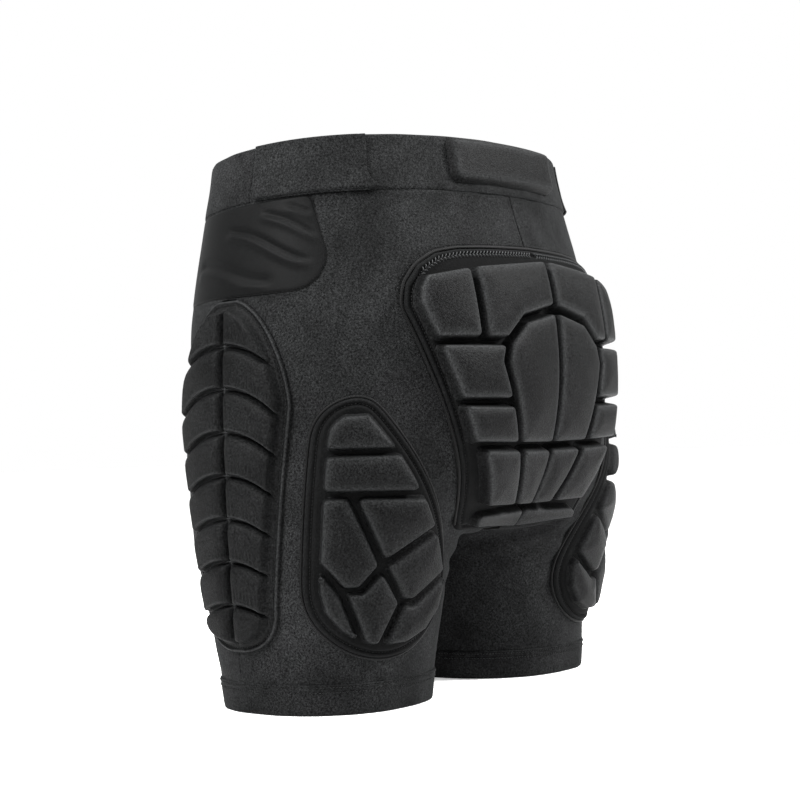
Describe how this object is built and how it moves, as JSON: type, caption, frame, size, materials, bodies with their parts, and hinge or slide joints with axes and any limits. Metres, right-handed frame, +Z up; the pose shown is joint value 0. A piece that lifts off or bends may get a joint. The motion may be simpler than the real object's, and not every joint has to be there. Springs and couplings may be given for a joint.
{
  "type": "padded impact shorts",
  "caption": "Pull-on compression shorts with raised foam armour on the seat, hips and rear thighs, for snow sports falls.",
  "frame": {"origin": "centre of the box that holds the shorts, in the plane of the two leg hems", "axes": "+X to the wearer's left, -Y to the front, +Y to the back, +Z up to the waist"},
  "size_m": [0.3998, 0.2816, 0.4184],
  "materials": {
    "charcoal_knit": "matte brushed stretch knit, dark charcoal",
    "smooth_stretch": "smooth fine stretch fabric, slightly sheeny, dark charcoal",
    "laminated_foam": "speckled knit laminated over molded foam, dark charcoal",
    "pad_backing": "matte black fabric over thin foam",
    "hook_and_loop": "black hook-and-loop tape",
    "piping_trim": "black corded edge tape"
  },
  "bodies": {
    "hips": {"front_waistband": "charcoal_knit", "rear_waistband": "charcoal_knit", "left_front_panel": "charcoal_knit", "left_seat_panel": "charcoal_knit", "right_front_panel": "charcoal_knit", "right_seat_panel": "charcoal_knit", "crotch_gusset": "smooth_stretch", "left_hip_insert": "smooth_stretch", "left_hip_crease": "smooth_stretch", "right_hip_insert": "smooth_stretch", "right_hip_crease": "smooth_stretch", "lumbar_pad": "laminated_foam", "left_seat_outer_top": "laminated_foam", "left_seat_inner_top": "laminated_foam", "left_seat_outer_middle": "laminated_foam", "left_seat_centre_petal": "laminated_foam", "left_seat_outer_lower": "laminated_foam", "left_seat_outer_foot": "laminated_foam", "left_seat_inner_foot": "laminated_foam", "left_seat_crotch_block": "laminated_foam", "right_seat_outer_top": "laminated_foam", "right_seat_inner_top": "laminated_foam", "right_seat_outer_middle": "laminated_foam", "right_seat_centre_petal": "laminated_foam", "right_seat_outer_lower": "laminated_foam", "right_seat_outer_foot": "laminated_foam", "right_seat_inner_foot": "laminated_foam", "right_seat_crotch_block": "laminated_foam", "left_side_pad_upper": "laminated_foam", "right_side_pad_upper": "laminated_foam", "seat_pad_backing": "pad_backing", "left_loop_patch": "hook_and_loop", "right_loop_patch": "hook_and_loop", "seat_pad_piping": "piping_trim"},
    "left_leg": {"left_leg_sleeve": "charcoal_knit", "left_leg_hem": "charcoal_knit", "left_side_pad_lower": "laminated_foam", "left_thigh_pad_backing": "pad_backing", "left_thigh_tip": "laminated_foam", "left_thigh_upper": "laminated_foam", "left_thigh_outer": "laminated_foam", "left_thigh_middle": "laminated_foam", "left_thigh_inner": "laminated_foam", "left_thigh_centre_foot": "laminated_foam", "left_thigh_outer_foot": "laminated_foam", "left_thigh_inner_foot": "laminated_foam"},
    "right_leg": {"right_leg_sleeve": "charcoal_knit", "right_leg_hem": "charcoal_knit", "right_side_pad_lower": "laminated_foam", "right_thigh_pad_backing": "pad_backing", "right_thigh_tip": "laminated_foam", "right_thigh_upper": "laminated_foam", "right_thigh_outer": "laminated_foam", "right_thigh_middle": "laminated_foam", "right_thigh_inner": "laminated_foam", "right_thigh_centre_foot": "laminated_foam", "right_thigh_outer_foot": "laminated_foam", "right_thigh_inner_foot": "laminated_foam"},
    "left_tab": {"left_waist_tab": "charcoal_knit"},
    "right_tab": {"right_waist_tab": "charcoal_knit"}
  },
  "joints": [
    {"name": "left_hip_flex", "type": "hinge", "parent": "hips", "child": "left_leg", "pos_m": [0.105, -0.0262, 0.17], "axis": [-1, 0, 0], "range_deg": [0, 20], "stiffness_Nm_per_rad": 0.6, "deforming": ["left_hip_crease"]},
    {"name": "right_hip_flex", "type": "hinge", "parent": "hips", "child": "right_leg", "pos_m": [-0.105, -0.0262, 0.17], "axis": [-1, 0, 0], "range_deg": [0, 20], "stiffness_Nm_per_rad": 0.6, "deforming": ["right_hip_crease"]},
    {"name": "left_tab_peel", "type": "hinge", "parent": "hips", "child": "left_tab", "pos_m": [0.1649, -0.0142, 0.3919], "axis": [0, 0, -1], "range_deg": [0, 60]},
    {"name": "right_tab_peel", "type": "hinge", "parent": "hips", "child": "right_tab", "pos_m": [-0.1649, -0.0142, 0.3919], "axis": [0, 0, 1], "range_deg": [0, 60]}
  ]
}
